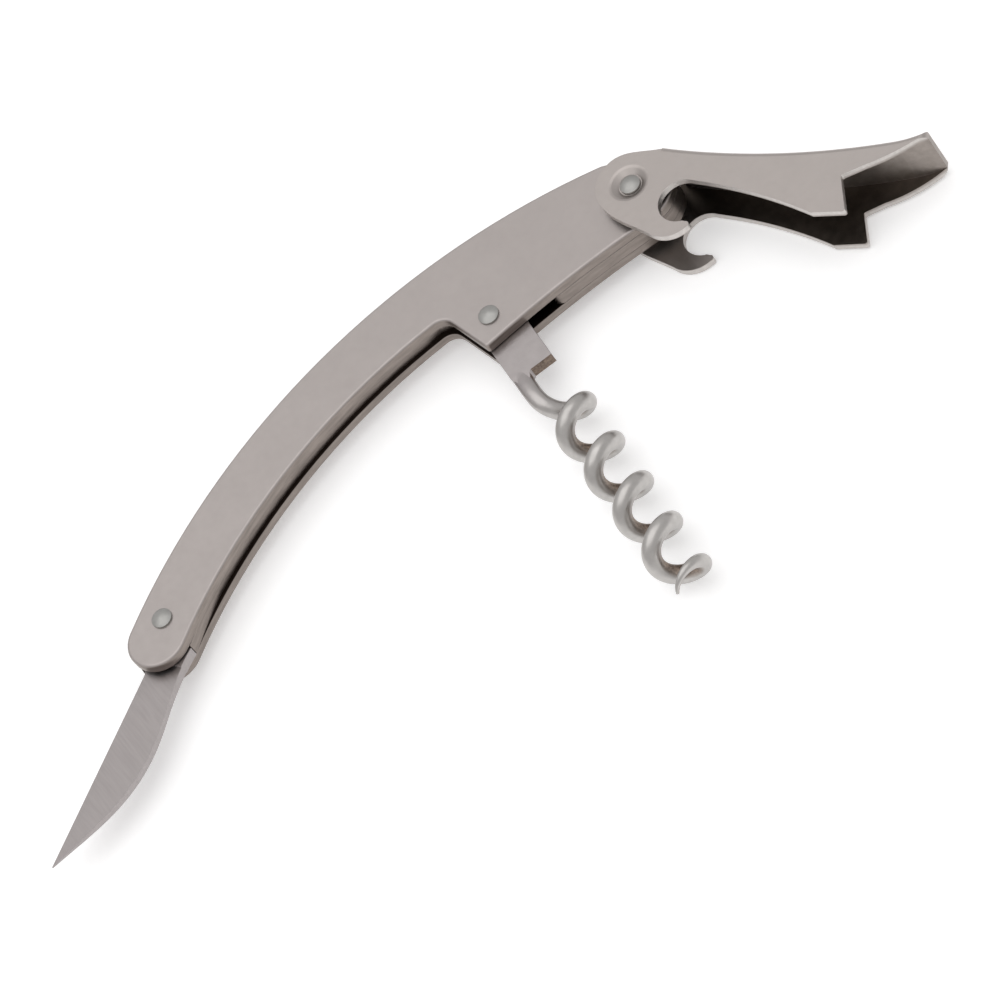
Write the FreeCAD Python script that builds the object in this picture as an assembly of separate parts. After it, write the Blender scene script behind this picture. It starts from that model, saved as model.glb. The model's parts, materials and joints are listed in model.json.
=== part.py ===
import FreeCAD, Part
import os
from math import acos, atan2, cos, degrees, pi, radians, sin

# Lever corkscrew (waiter's friend), all stamped and drawn stainless steel.
# Millimetres.  Origin under the worm's hinge, on the plane the lever's lower
# cheek rests on.  +X runs along the handle towards the lever, +Y towards the
# handle's rounded back, +Z is the upper plate's side.  Rest pose: worm and
# knife open, lever part way open.

# --- stack across the handle -------------------------------------------------
LEVER_WIDTH_HOOK = 11.5     # over both cheeks at the hook end
LEVER_WIDTH_TIP = 10.3      # over both cheeks at the tip
LEVER_SHEET = 1.2
PLATE_THICK = 1.8
SLOT = 2.3                  # between the two plates, and the spring's thickness
TANG_THICK = 2.1            # worm tang, runs in the slot
BLADE_THICK = 2.0
RUNNING = 0.05              # radial clearance of every hinge hole on its rivet
SIDE_PLAY = 0.08            # lever dimple to plate, rivet head to dimple

# --- handle plates -----------------------------------------------------------
BACK_RADIUS = 112.0         # the rounded back
GRIP_WIDTH = 10.3           # narrow part of the handle
CREST_X, CREST_Y = -15.6, 16.9         # highest point of the back
TAIL_PAST = 3.23            # narrow part runs on past the knife's hinge, then rounds off
HEAD_LOW_X, HEAD_LOW_Y = -3.7, -4.4    # corner where the wide head begins
STEP_TOP_X, STEP_TOP_Y = -4.9, 3.4     # upper end of the step's flat
STEP_RUN = 0.5              # the step leans on this much more to the belly
STEP_FILLET = 2.6
CORNER_ROUND = 0.6
HEAD_MID_X, HEAD_MID_Y = 11.0, -4.95   # middle of the head's lower edge
HEAD_END_RADIUS = 6.1       # rounded end about the lever's hinge
HEAD_TOP = 0.6              # the back's arc stops this far before the lever's hinge
HEAD_ROUNDING = 5.0
EDGE_BREAK = 0.45           # rounded outer edge of the plates
SEAM_BREAK = 0.12           # rounded inner edge, a fine groove along the spring

# --- hinges ------------------------------------------------------------------
LEVER_X, LEVER_Y = 29.6, -1.15
KNIFE_REACH = 55.42         # crest of the back to the knife's hinge, along the grip
KNIFE_LIFT = 0.465          # knife's hinge beside the middle of the grip
RIVET_RADIUS = 1.2
HEAD_RADIUS = 1.7
HEAD_HEIGHT = 0.8
HEAD_DOME = 0.5             # domed part of the head's height

# --- worm --------------------------------------------------------------------
WORM_LEAN = -6.3            # from square to the X axis
WIRE_RADIUS = 1.5
COIL_RADIUS = 3.0           # to the wire's centre
PITCH = 9.58
COIL_OFFSET = 1.5           # coil axis beside the hinge, towards the lever
COIL_START = 23.2           # distance from the hinge where the first turn starts
TURNS = 4.0
TIP_TURN = 0.4              # extra part of a turn that is ground to the point
TIP_PITCH = 7.0
TIP_RADIUS = 0.25
SHANK_OFFSET = -1.55        # wire centre where it leaves the tang
TANG_RIGHT = 4.3            # half widths of the tang beside the hinge
TANG_LEFT = -3.1
TANG_DROP = 12.2            # hinge to the tang's lower shoulder
TONGUE = 3.6                # the flat narrows to a tongue on the forged neck
SHOULDER_BEVEL = 0.4
NECK_ROOT = 1.5             # neck starts inside the tang
NECK_LENGTH = 6.6           # over which it draws from flat to round
NECK_SQUARE = 4.0           # how square the flat end of the neck is

# --- lever -------------------------------------------------------------------
LEVER_ANGLE = -39.75        # direction of the lever in the rest pose
LEVER_LENGTH = 48.8         # hinge to tip
EAR_RADIUS = 5.7            # rounded end of the cheeks about the hinge
WEB_START = 5.1             # the web folds over from here to the tip
WEB_REAR = 5.9              # heights of the web over the hinge: at its start,
WEB_MIDDLE = 1.05           # half way along,
WEB_FRONT = -0.7            # and where the tip turns up
FLICK = 4.9                 # length of the upturned tip
FLICK_RISE = 0.8
BEND_RADIUS = 1.0           # outside of the folded edges
THROAT_X, THROAT_Y, THROAT_RADIUS = 9.0, -5.0, 3.8
HOOK_DEPTH = 2.4            # metal under the throat
FOOT_BACK, FOOT_DROP = 12.5, 12.35     # lowest corner of the foot, from the tip and the hinge
FOOT_WIDTH, FOOT_SLANT = 5.6, 0.85
NOTCH_BACK, NOTCH_DROP = 13.4, 6.6
KNEE_BACK, KNEE_DROP = 9.9, 5.5        # on the lip, where its curve to the tip starts
LIP_DROP = 4.0              # cheeks' edge under the start of the upturned tip
FRONT_CUT = 1.0             # the front cheek's lip is cut back this much further
FRONT_TIP_CUT = 0.5         # and this much at the tip
TIP_ROUND = 1.3             # corners of the tip, seen square to the web
CHEEK_BULGE = 0.7           # the cheeks' lower edge stands out from a straight line
DISH_DEPTH = 0.72           # pressed dish around the lever's rivet
DISH_FLOOR = 1.95           # its radii at the floor
DISH_TOP = 3.1              # and at the cheek's face
DISH_ROUND = 0.9            # soft rim of the dish
COLLAR_RADIUS = 2.3         # collar on the lever's rivet that spaces the cheeks
FOOT_ROUND = 0.35           # corners of foot and notch

# --- knife -------------------------------------------------------------------
BLADE_LEAN = -0.62          # cutting edge from the line of the grip's end
BLADE_LENGTH = 42.5
BLADE_DEPTH = 7.35          # greatest depth, edge line to spine
EDGE_OFFSET = 0.5           # cutting edge beside the hinge
EDGE_THICK = 0.3
SPINE_THICK = 1.3           # of the ground part, at its deepest
TANG_ROUND = 4.25           # the tang's rounded end about its hinge
HEEL = 2.9                  # heel face that meets the end of the spring
HEEL_DEPTH = 6.0
CHOIL = 8.6                 # where the straight edge starts
GRIND_START = 6.3           # the flat grind starts under the plates
GRIND_RAMP = 7.0            # and reaches its full depth at the spine after this length

# --- spring ------------------------------------------------------------------
SPRING_ROOT_X = 9.2         # left end of the filler block under the head
SPRING_GAP = 0.35           # to the tangs that turn beside it
LEAF = 2.1                  # height of the leaf
LEAF_RECESS = 2.2           # leaf below the plates' concave edge
TAPER_RECESS, TAPER_REACH = 1.1, 13.5   # the same near the knife, and how far before its hinge
HEEL_RECESS, HEEL_REACH = 0.35, 3.8
SPRING_END = 0.25           # gap to the knife's heel
ROOT_INSET = 1.0            # block below the plates' back edge
DOWEL_X, DOWEL_Y = 17.5, 1.0
DOWEL_RADIUS = 1.25
DOWEL_BITE = 1.0            # depth of the dowel in each plate

MID_Z = LEVER_WIDTH_HOOK / 2
BACK_INNER = MID_Z - SLOT / 2
BACK_OUTER = BACK_INNER - PLATE_THICK
FRONT_INNER = MID_Z + SLOT / 2
FRONT_OUTER = FRONT_INNER + PLATE_THICK
BELLY_RADIUS = BACK_RADIUS - GRIP_WIDTH
MID_RADIUS = BACK_RADIUS - GRIP_WIDTH / 2
ARC_Y = CREST_Y - BACK_RADIUS
KNIFE_TURN = KNIFE_REACH / MID_RADIUS
KNIFE_X = CREST_X - (MID_RADIUS + KNIFE_LIFT) * sin(KNIFE_TURN)
KNIFE_Y = ARC_Y + (MID_RADIUS + KNIFE_LIFT) * cos(KNIFE_TURN)
BLADE_ANGLE = 180 + degrees(KNIFE_TURN) + BLADE_LEAN
TAIL_REACH = KNIFE_REACH + TAIL_PAST
FOOT_X, FOOT_Y = LEVER_LENGTH - FOOT_BACK, -FOOT_DROP
UP = FreeCAD.Vector(0, 0, 1)


def P(x, y, z=0.0):
    return FreeCAD.Vector(x, y, z)


def line(a, b):
    return Part.makeLine(a, b)


def arc(a, mid, b):
    return Part.Arc(a, mid, b).toShape()


def spline(points):
    curve = Part.BSplineCurve()
    curve.interpolate(points)
    return curve.toShape()


def slab(edges, z0, z1):
    """Flat piece between two heights from a closed row of edges."""
    wire = Part.Wire(edges)
    face = Part.Face(wire)
    solid = face.extrude(UP * (z1 - z0))
    solid.translate(UP * z0)
    return solid


def drum(x, y, radius, z0, z1):
    return Part.makeCylinder(radius, z1 - z0, P(x, y, z0), UP)


def turned(shape, x, y, angle):
    """Set a piece drawn about its own hinge into the handle's frame."""
    shape.rotate(P(0, 0), UP, angle)
    shape.translate(P(x, y))
    return shape


def upright_edge(shape, x, y):
    """The edge parallel to Z that stands nearest to a point."""
    best = None
    for edge in shape.Edges:
        a = edge.Vertexes[0].Point
        b = edge.Vertexes[-1].Point
        if abs(a.z - b.z) > 0.5 and abs(a.x - b.x) + abs(a.y - b.y) < 1e-4:
            gap = (a.x - x) ** 2 + (a.y - y) ** 2
            if best is None or gap < best[0]:
                best = (gap, edge)
    return best[1]


def rim_edges(shape, z):
    """Edges of the outline that lie at one height."""
    face = max((f for f in shape.Faces if abs(f.CenterOfMass.z - z) < 1e-3
                and abs(f.BoundBox.ZLength) < 1e-3), key=lambda f: f.Area)
    return face.OuterWire.Edges


def bow(radius, reach):
    """Point on an arc about the back's centre, that far along the grip from the crest."""
    turn = reach / MID_RADIUS
    return P(CREST_X - radius * sin(turn), ARC_Y + radius * cos(turn))


def bow_at_x(radius, x):
    return P(x, ARC_Y + (radius ** 2 - (x - CREST_X) ** 2) ** 0.5)


def around(x, y, radius, angle):
    return P(x + radius * cos(radians(angle)), y + radius * sin(radians(angle)))


def head_end():
    """Rounded end of the handle about the lever's hinge, from low to high,
    where a line from the back's end touches it."""
    away = bow_at_x(BACK_RADIUS, LEVER_X - HEAD_TOP) - P(LEVER_X, LEVER_Y)
    touch = degrees(atan2(away.y, away.x) - acos(HEAD_END_RADIUS / away.Length))
    low = around(LEVER_X, LEVER_Y, HEAD_END_RADIUS, -98)
    mid = around(LEVER_X, LEVER_Y, HEAD_END_RADIUS, (touch - 98) / 2)
    high = around(LEVER_X, LEVER_Y, HEAD_END_RADIUS, touch)
    return low, mid, high


def handle_outline():
    low, mid, high = head_end()
    top = bow_at_x(BACK_RADIUS, LEVER_X - HEAD_TOP)
    tail_top = bow(BACK_RADIUS, TAIL_REACH)
    tail_low = bow(BELLY_RADIUS, TAIL_REACH)
    tail_mid = bow(MID_RADIUS, TAIL_REACH + GRIP_WIDTH / 2)
    belly = bow_at_x(BELLY_RADIUS, STEP_TOP_X - STEP_RUN)
    corner = P(HEAD_LOW_X, HEAD_LOW_Y)
    return [
        arc(low, mid, high),
        line(high, top),
        arc(top, bow(BACK_RADIUS, 0), tail_top),
        arc(tail_top, tail_mid, tail_low),
        arc(tail_low, bow(BELLY_RADIUS, TAIL_REACH / 2), belly),
        line(belly, P(STEP_TOP_X, STEP_TOP_Y)),
        line(P(STEP_TOP_X, STEP_TOP_Y), corner),
        arc(corner, P(HEAD_MID_X, HEAD_MID_Y), low),
    ]


def plate(z0, z1, outer):
    """One side of the handle, pierced for the three rivets."""
    body = slab(handle_outline(), z0, z1)
    inside = bow_at_x(BELLY_RADIUS, STEP_TOP_X - STEP_RUN)
    body = body.makeFillet(STEP_FILLET, [upright_edge(body, inside.x, inside.y)])
    body = body.makeFillet(CORNER_ROUND, [upright_edge(body, HEAD_LOW_X, HEAD_LOW_Y)])
    top = bow_at_x(BACK_RADIUS, LEVER_X - HEAD_TOP)
    body = body.makeFillet(HEAD_ROUNDING, [upright_edge(body, top.x, top.y)])
    body = body.makeFillet(EDGE_BREAK, rim_edges(body, outer))
    body = body.makeFillet(SEAM_BREAK, rim_edges(body, z0 + z1 - outer))
    for x, y in ((0, 0), (LEVER_X, LEVER_Y), (KNIFE_X, KNIFE_Y)):
        body = body.cut(drum(x, y, RIVET_RADIUS, z0 - 1, z1 + 1))
    return body


def front_plate():
    body = plate(FRONT_INNER, FRONT_OUTER, FRONT_OUTER)
    seat = drum(DOWEL_X, DOWEL_Y, DOWEL_RADIUS, FRONT_INNER - 1, FRONT_INNER + DOWEL_BITE)
    return body.cut(seat)


def back_plate():
    body = plate(BACK_OUTER, BACK_INNER, BACK_OUTER)
    seat = drum(DOWEL_X, DOWEL_Y, DOWEL_RADIUS, BACK_INNER - DOWEL_BITE, BACK_INNER + 1)
    return body.cut(seat)


def spring_dowel():
    """Blind dowel that keeps the spring's root from turning on the rivet."""
    return drum(DOWEL_X, DOWEL_Y, DOWEL_RADIUS, BACK_INNER - DOWEL_BITE, FRONT_INNER + DOWEL_BITE)


def rivet(x, y, z0, z1):
    """Shank with a low dome formed on each end; z0 and z1 are under the heads."""
    ball = (HEAD_DOME ** 2 + HEAD_RADIUS ** 2) / 2 / HEAD_DOME
    swell = (ball ** 2 - HEAD_RADIUS ** 2 / 4) ** 0.5 - ball
    edges = [line(P(0, 0, z0 - HEAD_HEIGHT), P(0, 0, z1 + HEAD_HEIGHT))]
    for z, out in ((z1, 1), (z0, -1)):
        crown = P(0, 0, z + out * HEAD_HEIGHT)
        flank = P(HEAD_RADIUS / 2, 0, z + out * (HEAD_HEIGHT + swell))
        rim = P(HEAD_RADIUS, 0, z + out * (HEAD_HEIGHT - HEAD_DOME))
        edges.append(arc(crown, flank, rim))
        edges.append(line(rim, P(HEAD_RADIUS, 0, z)))
        edges.append(line(P(HEAD_RADIUS, 0, z), P(RIVET_RADIUS, 0, z)))
    edges.append(line(P(RIVET_RADIUS, 0, z0), P(RIVET_RADIUS, 0, z1)))
    profile = Part.Wire(Part.__sortEdges__(edges))
    body = Part.Face(profile).revolve(P(0, 0), UP, 360)
    body.translate(P(x, y))
    return body


def knife_rivet():
    return rivet(KNIFE_X, KNIFE_Y, BACK_OUTER, FRONT_OUTER)


def worm_rivet():
    return rivet(0, 0, BACK_OUTER, FRONT_OUTER)


def dish_inner():
    """Height over the middle plane of the dish's underside, at the hinge."""
    return half_width(0) - LEVER_SHEET - DISH_DEPTH


def lever_rivet():
    """Longer rivet: its heads sit in the cheeks' dishes, collars fill the gap to the plates."""
    seat = dish_inner() + LEVER_SHEET + SIDE_PLAY
    body = rivet(LEVER_X, LEVER_Y, MID_Z - seat, MID_Z + seat)
    collar = dish_inner() - SIDE_PLAY
    for z0, z1 in ((MID_Z - collar, BACK_OUTER), (FRONT_OUTER, MID_Z + collar)):
        body = body.fuse(drum(LEVER_X, LEVER_Y, COLLAR_RADIUS, z0, z1))
    return body


def knife_point(s, n):
    """Point beside the knife's hinge: s towards the tip, n towards the spine."""
    a = radians(BLADE_ANGLE)
    return P(KNIFE_X + s * cos(a) - n * sin(a), KNIFE_Y + s * sin(a) + n * cos(a))


def spring():
    """One stamping: filler block under the head, then a leaf over the worm's
    tang and down to the knife's heel, where it lies flush with the plates."""
    low, mid, high = head_end()
    corner = P(HEAD_LOW_X, HEAD_LOW_Y)
    edge = Part.Arc(corner, P(HEAD_MID_X, HEAD_MID_Y), low)
    start = edge.value(edge.parameter(P(SPRING_ROOT_X + 1.2, HEAD_MID_Y)))
    along = edge.value(edge.parameter(P((SPRING_ROOT_X + low.x) / 2, HEAD_MID_Y)))
    clear = TANG_RIGHT + SPRING_GAP
    inner = P(SPRING_ROOT_X, clear - 1.0)
    roof = P(SPRING_ROOT_X - 1.6, clear + 0.35)
    over = P(0, clear + 0.15)
    over_top = P(0, over.y + LEAF + 0.6)
    under = BELLY_RADIUS + LEAF_RECESS
    bay_reach = CREST_X - STEP_TOP_X + 2 * STEP_FILLET
    waist_reach = KNIFE_REACH / 3
    taper_reach = KNIFE_REACH - TAPER_REACH
    bay = bow(under, bay_reach)
    bay_top = bow(under + LEAF, bay_reach)
    waist = bow(under, waist_reach)
    waist_top = bow(under + LEAF, waist_reach)
    thin = bow(BELLY_RADIUS + TAPER_RECESS, taper_reach)
    thin_top = bow(BELLY_RADIUS + TAPER_RECESS + LEAF, taper_reach)
    heel_low = knife_point(HEEL - SPRING_END, HEEL_DEPTH - 0.25)
    heel_high = knife_point(HEEL - SPRING_END, TANG_ROUND + SPRING_GAP + 0.15)
    saddle = around(KNIFE_X, KNIFE_Y, TANG_ROUND + SPRING_GAP, BLADE_ANGLE - 261)
    crown = around(KNIFE_X, KNIFE_Y, TANG_ROUND + SPRING_GAP + 0.3, BLADE_ANGLE - 231)
    near = bow(BELLY_RADIUS + HEEL_RECESS, KNIFE_REACH - HEEL_REACH)
    root_top = bow_at_x(BACK_RADIUS - ROOT_INSET, LEVER_X - HEAD_TOP - ROOT_INSET)
    shelf = P(SPRING_ROOT_X + 2, over_top.y + 1.4)
    edges = [
        arc(start, along, low),
        arc(low, mid, high),
        line(high, root_top),
        arc(root_top, P((root_top.x + shelf.x) / 2, (root_top.y + shelf.y) / 2 + 0.9), shelf),
        spline([shelf, over_top, bay_top, waist_top, thin_top, crown]),
        arc(crown, saddle, heel_high),
        line(heel_high, heel_low),
        spline([heel_low, near, thin, waist, bay, over, roof]),
        line(roof, inner),
        line(inner, P(SPRING_ROOT_X, start.y + 1.2)),
        arc(P(SPRING_ROOT_X, start.y + 1.2), P(SPRING_ROOT_X + 0.35, start.y + 0.35), start),
    ]
    body = slab(edges, BACK_INNER, FRONT_INNER)
    body = body.cut(drum(LEVER_X, LEVER_Y, RIVET_RADIUS, BACK_OUTER, FRONT_OUTER))
    return body.cut(drum(DOWEL_X, DOWEL_Y, DOWEL_RADIUS, BACK_OUTER, FRONT_OUTER))


def coil_point(turn):
    """Wire centre; turns count from where the coil is nearest the lever."""
    down = COIL_START + PITCH * turn
    if turn > TURNS:
        down = COIL_START + PITCH * TURNS + TIP_PITCH * (turn - TURNS)
    a = 2 * pi * turn
    return P(COIL_OFFSET + COIL_RADIUS * cos(a), -down, MID_Z + COIL_RADIUS * sin(a))


def wire_path():
    """Straight out of the tang, then round the back into the first turn."""
    r = COIL_RADIUS
    z = MID_Z
    points = [
        P(SHANK_OFFSET, -TANG_DROP + NECK_ROOT, z),
        P(SHANK_OFFSET, -TANG_DROP - 1.0, z),
        P(SHANK_OFFSET, -TANG_DROP - 3.4, z),
        P(SHANK_OFFSET + 0.25, -COIL_START + 5.5, z - 0.16 * r),
        P(SHANK_OFFSET + 1.2, -COIL_START + 3.85, z - 0.5 * r),
        P(COIL_OFFSET - 0.35, -COIL_START + 2.75, z - 0.86 * r),
    ]
    steps = 12
    last = int((TURNS + TIP_TURN) * steps)
    for i in range(-2, last + 1):
        points.append(coil_point(i / steps))
    points.append(coil_point(TURNS + TIP_TURN + 0.03))
    curve = Part.BSplineCurve()
    curve.interpolate(points)
    return curve


def flat_section(curve, t):
    """Rounded flat at the top of the neck, as thick as the tang."""
    middle = curve.value(t)
    points = []
    for i in range(24):
        a = 2 * pi * i / 24
        out = (abs(cos(a)) ** NECK_SQUARE + abs(sin(a)) ** NECK_SQUARE) ** (-1 / NECK_SQUARE)
        points.append(middle + P(WIRE_RADIUS * out * cos(a), 0, TANG_THICK / 2 * out * sin(a)))
    flat = Part.BSplineCurve()
    flat.interpolate(points, True)
    return Part.Wire(flat.toShape())


def ring(curve, t, radius):
    """Circular section of the wire square to its path."""
    circle = Part.Circle(curve.value(t), curve.tangent(t)[0], radius)
    return Part.Wire(circle.toShape())


def sweep(curve, t0, t1, sections):
    """Wire between two places on its path, drawn from one section to the next."""
    part = curve.copy()
    part.segment(t0, t1)
    shell = Part.BRepOffsetAPI.MakePipeShell(Part.Wire(part.toShape()))
    shell.setFrenetMode(False)
    for section in sections:
        shell.add(section)
    shell.build()
    shell.makeSolid()
    return shell.shape()


def worm():
    """Flat tang and coiled wire forged from one piece, ground to a point."""
    z0 = MID_Z - TANG_THICK / 2
    z1 = MID_Z + TANG_THICK / 2
    rise = (TANG_RIGHT ** 2 - TANG_LEFT ** 2) ** 0.5
    neck_right = SHANK_OFFSET + WIRE_RADIUS
    neck_left = SHANK_OFFSET - WIRE_RADIUS
    left = P(neck_left, -TANG_DROP + NECK_ROOT / 2)
    tongue = P(SHANK_OFFSET, -TANG_DROP - TONGUE)
    right = P(neck_right, -TANG_DROP - SHOULDER_BEVEL)
    shoulder = P(neck_right + SHOULDER_BEVEL, -TANG_DROP)
    tang = slab([
        arc(P(TANG_RIGHT, 0), around(0, 0, TANG_RIGHT, 60), P(TANG_LEFT, rise)),
        line(P(TANG_LEFT, rise), left),
        line(left, tongue),
        line(tongue, right),
        line(right, shoulder),
        line(shoulder, P(TANG_RIGHT, -TANG_DROP)),
        line(P(TANG_RIGHT, -TANG_DROP), P(TANG_RIGHT, 0)),
    ], z0, z1)
    curve = wire_path()
    t0 = curve.FirstParameter
    t3 = curve.LastParameter
    t1 = curve.parameter(P(SHANK_OFFSET + 0.3, -TANG_DROP - NECK_LENGTH, MID_Z - 0.2 * COIL_RADIUS))
    t2 = curve.parameter(coil_point(TURNS - 0.08))
    neck = sweep(curve, t0, t1, [flat_section(curve, t0), ring(curve, t1, WIRE_RADIUS)])
    coil = sweep(curve, t1, t2, [ring(curve, t1, WIRE_RADIUS)])
    point = sweep(curve, t2, t3, [ring(curve, t2, WIRE_RADIUS), ring(curve, t3, TIP_RADIUS)])
    body = tang.fuse([neck, coil, point])
    body = body.cut(drum(0, 0, RIVET_RADIUS + RUNNING, z0 - 1, z1 + 1))
    return turned(body, 0, 0, WORM_LEAN)


def web_curve(drop):
    """Top of the lever from the pivot end to the tip, lowered by the sheet."""
    rear = P(WEB_START, WEB_REAR - drop)
    middle = P(LEVER_LENGTH / 2, WEB_MIDDLE - drop)
    front = P(LEVER_LENGTH - FLICK, WEB_FRONT - drop)
    flick = P(LEVER_LENGTH - FLICK * 0.47, WEB_FRONT + FLICK_RISE * 0.31 - drop)
    tip = P(LEVER_LENGTH, WEB_FRONT + FLICK_RISE - drop)
    return rear, middle, front, flick, tip


def cheek_outline():
    """Side of the lever: hook end, throat, long taper, foot, notch and tip."""
    rear, middle, front, flick, tip = web_curve(0)
    shoulder = P(WEB_START, WEB_REAR - BEND_RADIUS * 0.6)
    below = P(LEVER_LENGTH + 0.1, tip.y - LEVER_SHEET)
    lip = around(THROAT_X, THROAT_Y, THROAT_RADIUS, -84)
    bite = around(THROAT_X, THROAT_Y, THROAT_RADIUS, 64)
    nose_in = P(lip.x + 0.6, lip.y - 0.22)
    nose_out = P(lip.x + 0.75, lip.y - 0.55 * HOOK_DEPTH)
    nose = P(lip.x + 1.15, (nose_in.y + nose_out.y) / 2)
    chin = P(THROAT_X - 1.7, THROAT_Y - THROAT_RADIUS - HOOK_DEPTH)
    jaw = P(THROAT_X - 5.0, nose_out.y)
    heel = P(FOOT_X - FOOT_WIDTH, FOOT_Y + FOOT_SLANT)
    notch = P(LEVER_LENGTH - NOTCH_BACK, -NOTCH_DROP)
    knee = P(LEVER_LENGTH - KNEE_BACK, -KNEE_DROP)
    taper_mid = (bite + heel) * 0.5 + P(0.2, CHEEK_BULGE)
    neck = around(0, 0, EAR_RADIUS * 1.28, -92)
    ear = [around(0, 0, EAR_RADIUS, angle) for angle in (-135, -176, -212, -246, -283)]
    return [
        arc(rear, middle, front),
        arc(front, flick, tip),
        line(tip, below),
        arc(below, P(front.x, -LIP_DROP), knee),
        line(knee, notch),
        line(notch, P(FOOT_X, FOOT_Y)),
        line(P(FOOT_X, FOOT_Y), heel),
        arc(heel, taper_mid, bite),
        arc(bite, around(THROAT_X, THROAT_Y, THROAT_RADIUS, 170), lip),
        line(lip, nose_in),
        arc(nose_in, nose, nose_out),
        arc(nose_out, chin, jaw),
        spline([jaw, neck] + ear + [shoulder]),
        line(shoulder, rear),
    ]


def front_notch():
    """Inner corner of the front cheek's notch, on the line of the foot's face."""
    notch = P(LEVER_LENGTH - NOTCH_BACK, -NOTCH_DROP)
    rise = notch - P(FOOT_X, FOOT_Y)
    return notch + rise * (FRONT_CUT / rise.y)


def front_lip_trim(top):
    """What the front cheek loses beside the tip, compared with the lower one."""
    notch = P(LEVER_LENGTH - NOTCH_BACK, -NOTCH_DROP)
    knee = P(LEVER_LENGTH - KNEE_BACK, -KNEE_DROP + FRONT_CUT)
    lip = P(LEVER_LENGTH - FLICK, -LIP_DROP + FRONT_CUT)
    end = P(LEVER_LENGTH + 0.1, WEB_FRONT + FLICK_RISE - LEVER_SHEET + FRONT_TIP_CUT)
    corner = P(end.x, notch.y)
    return slab([
        arc(end, lip, knee),
        line(knee, front_notch()),
        line(front_notch(), notch),
        line(notch, corner),
        line(corner, end),
    ], MID_Z, top)


def half_width(x):
    """Half of the lever's width over its cheeks, at a distance from the hinge."""
    slope = (LEVER_WIDTH_HOOK - LEVER_WIDTH_TIP) / 2 / (LEVER_LENGTH + EAR_RADIUS)
    return LEVER_WIDTH_HOOK / 2 - slope * (x + EAR_RADIUS)


def taper(sheet):
    """Wedge between the two cheeks: wide at the hook end, narrow at the tip."""
    x0, x1 = -2 * EAR_RADIUS, LEVER_LENGTH + EAR_RADIUS
    h0 = half_width(x0) - sheet
    h1 = half_width(x1) - sheet
    y = -LEVER_LENGTH
    corners = [P(x0, y, MID_Z - h0), P(x1, y, MID_Z - h1), P(x1, y, MID_Z + h1), P(x0, y, MID_Z + h0)]
    wire = Part.makePolygon(corners + corners[:1])
    return Part.Face(wire).extrude(P(0, 2 * LEVER_LENGTH))


def dish(outwards):
    """Pressed seat of the rivet head: the boss it raises inside, and the hollow."""
    inner = MID_Z + outwards * dish_inner()
    floor = inner + outwards * LEVER_SHEET
    axis = UP * outwards
    flare = (DISH_TOP - DISH_FLOOR) / DISH_DEPTH
    hollow = Part.makeCone(DISH_FLOOR, DISH_TOP + 0.2 * flare, DISH_DEPTH + 0.2, P(0, 0, floor), axis)
    boss = Part.makeCone(DISH_FLOOR + 0.7, DISH_TOP + 0.7, DISH_DEPTH + 0.2, P(0, 0, inner), axis)
    return boss, hollow


def dish_rims(shape):
    """Edges where the dishes meet the cheeks' outer faces."""
    found = []
    for edge in shape.Edges:
        box = edge.BoundBox
        reach = max(box.XMax, -box.XMin)
        level = abs(edge.CenterOfMass.z - MID_Z) - half_width(0)
        if abs(reach - DISH_TOP) < 0.25 and box.YMax - box.YMin > DISH_TOP and abs(level) < 0.2:
            found.append(edge)
    return found


def tip_corner(outwards):
    """Sliver outside the rounded corner at one side of the tip."""
    x = LEVER_LENGTH + 0.1
    z = half_width(x)
    r = TIP_ROUND
    knee = r * cos(radians(45))

    def at(px, pz):
        return P(px, -LEVER_LENGTH, MID_Z + outwards * pz)

    edges = [
        arc(at(x, z - r), at(x - r + knee, z - r + knee), at(x - r, z)),
        line(at(x - r, z), at(x - r, z + 1)),
        line(at(x - r, z + 1), at(x + 1, z + 1)),
        line(at(x + 1, z + 1), at(x + 1, z - r)),
        line(at(x + 1, z - r), at(x, z - r)),
    ]
    return Part.Face(Part.Wire(edges)).extrude(P(0, 2 * LEVER_LENGTH))


def bent_edges(shape):
    """The two long edges where the web folds into the cheeks."""
    found = []
    marks = web_curve(0)
    for edge in shape.Edges:
        middle = edge.CenterOfMass
        if abs(middle.z - MID_Z) < 3.0:
            continue
        for a, b in ((marks[0], marks[2]), (marks[2], marks[4])):
            ends = [v.Point for v in edge.Vertexes]
            if len(ends) == 2:
                one = min(abs(e.x - a.x) + abs(e.y - a.y) for e in ends)
                two = min(abs(e.x - b.x) + abs(e.y - b.y) for e in ends)
                if one < 1e-3 and two < 1e-3:
                    found.append(edge)
    return found


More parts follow.
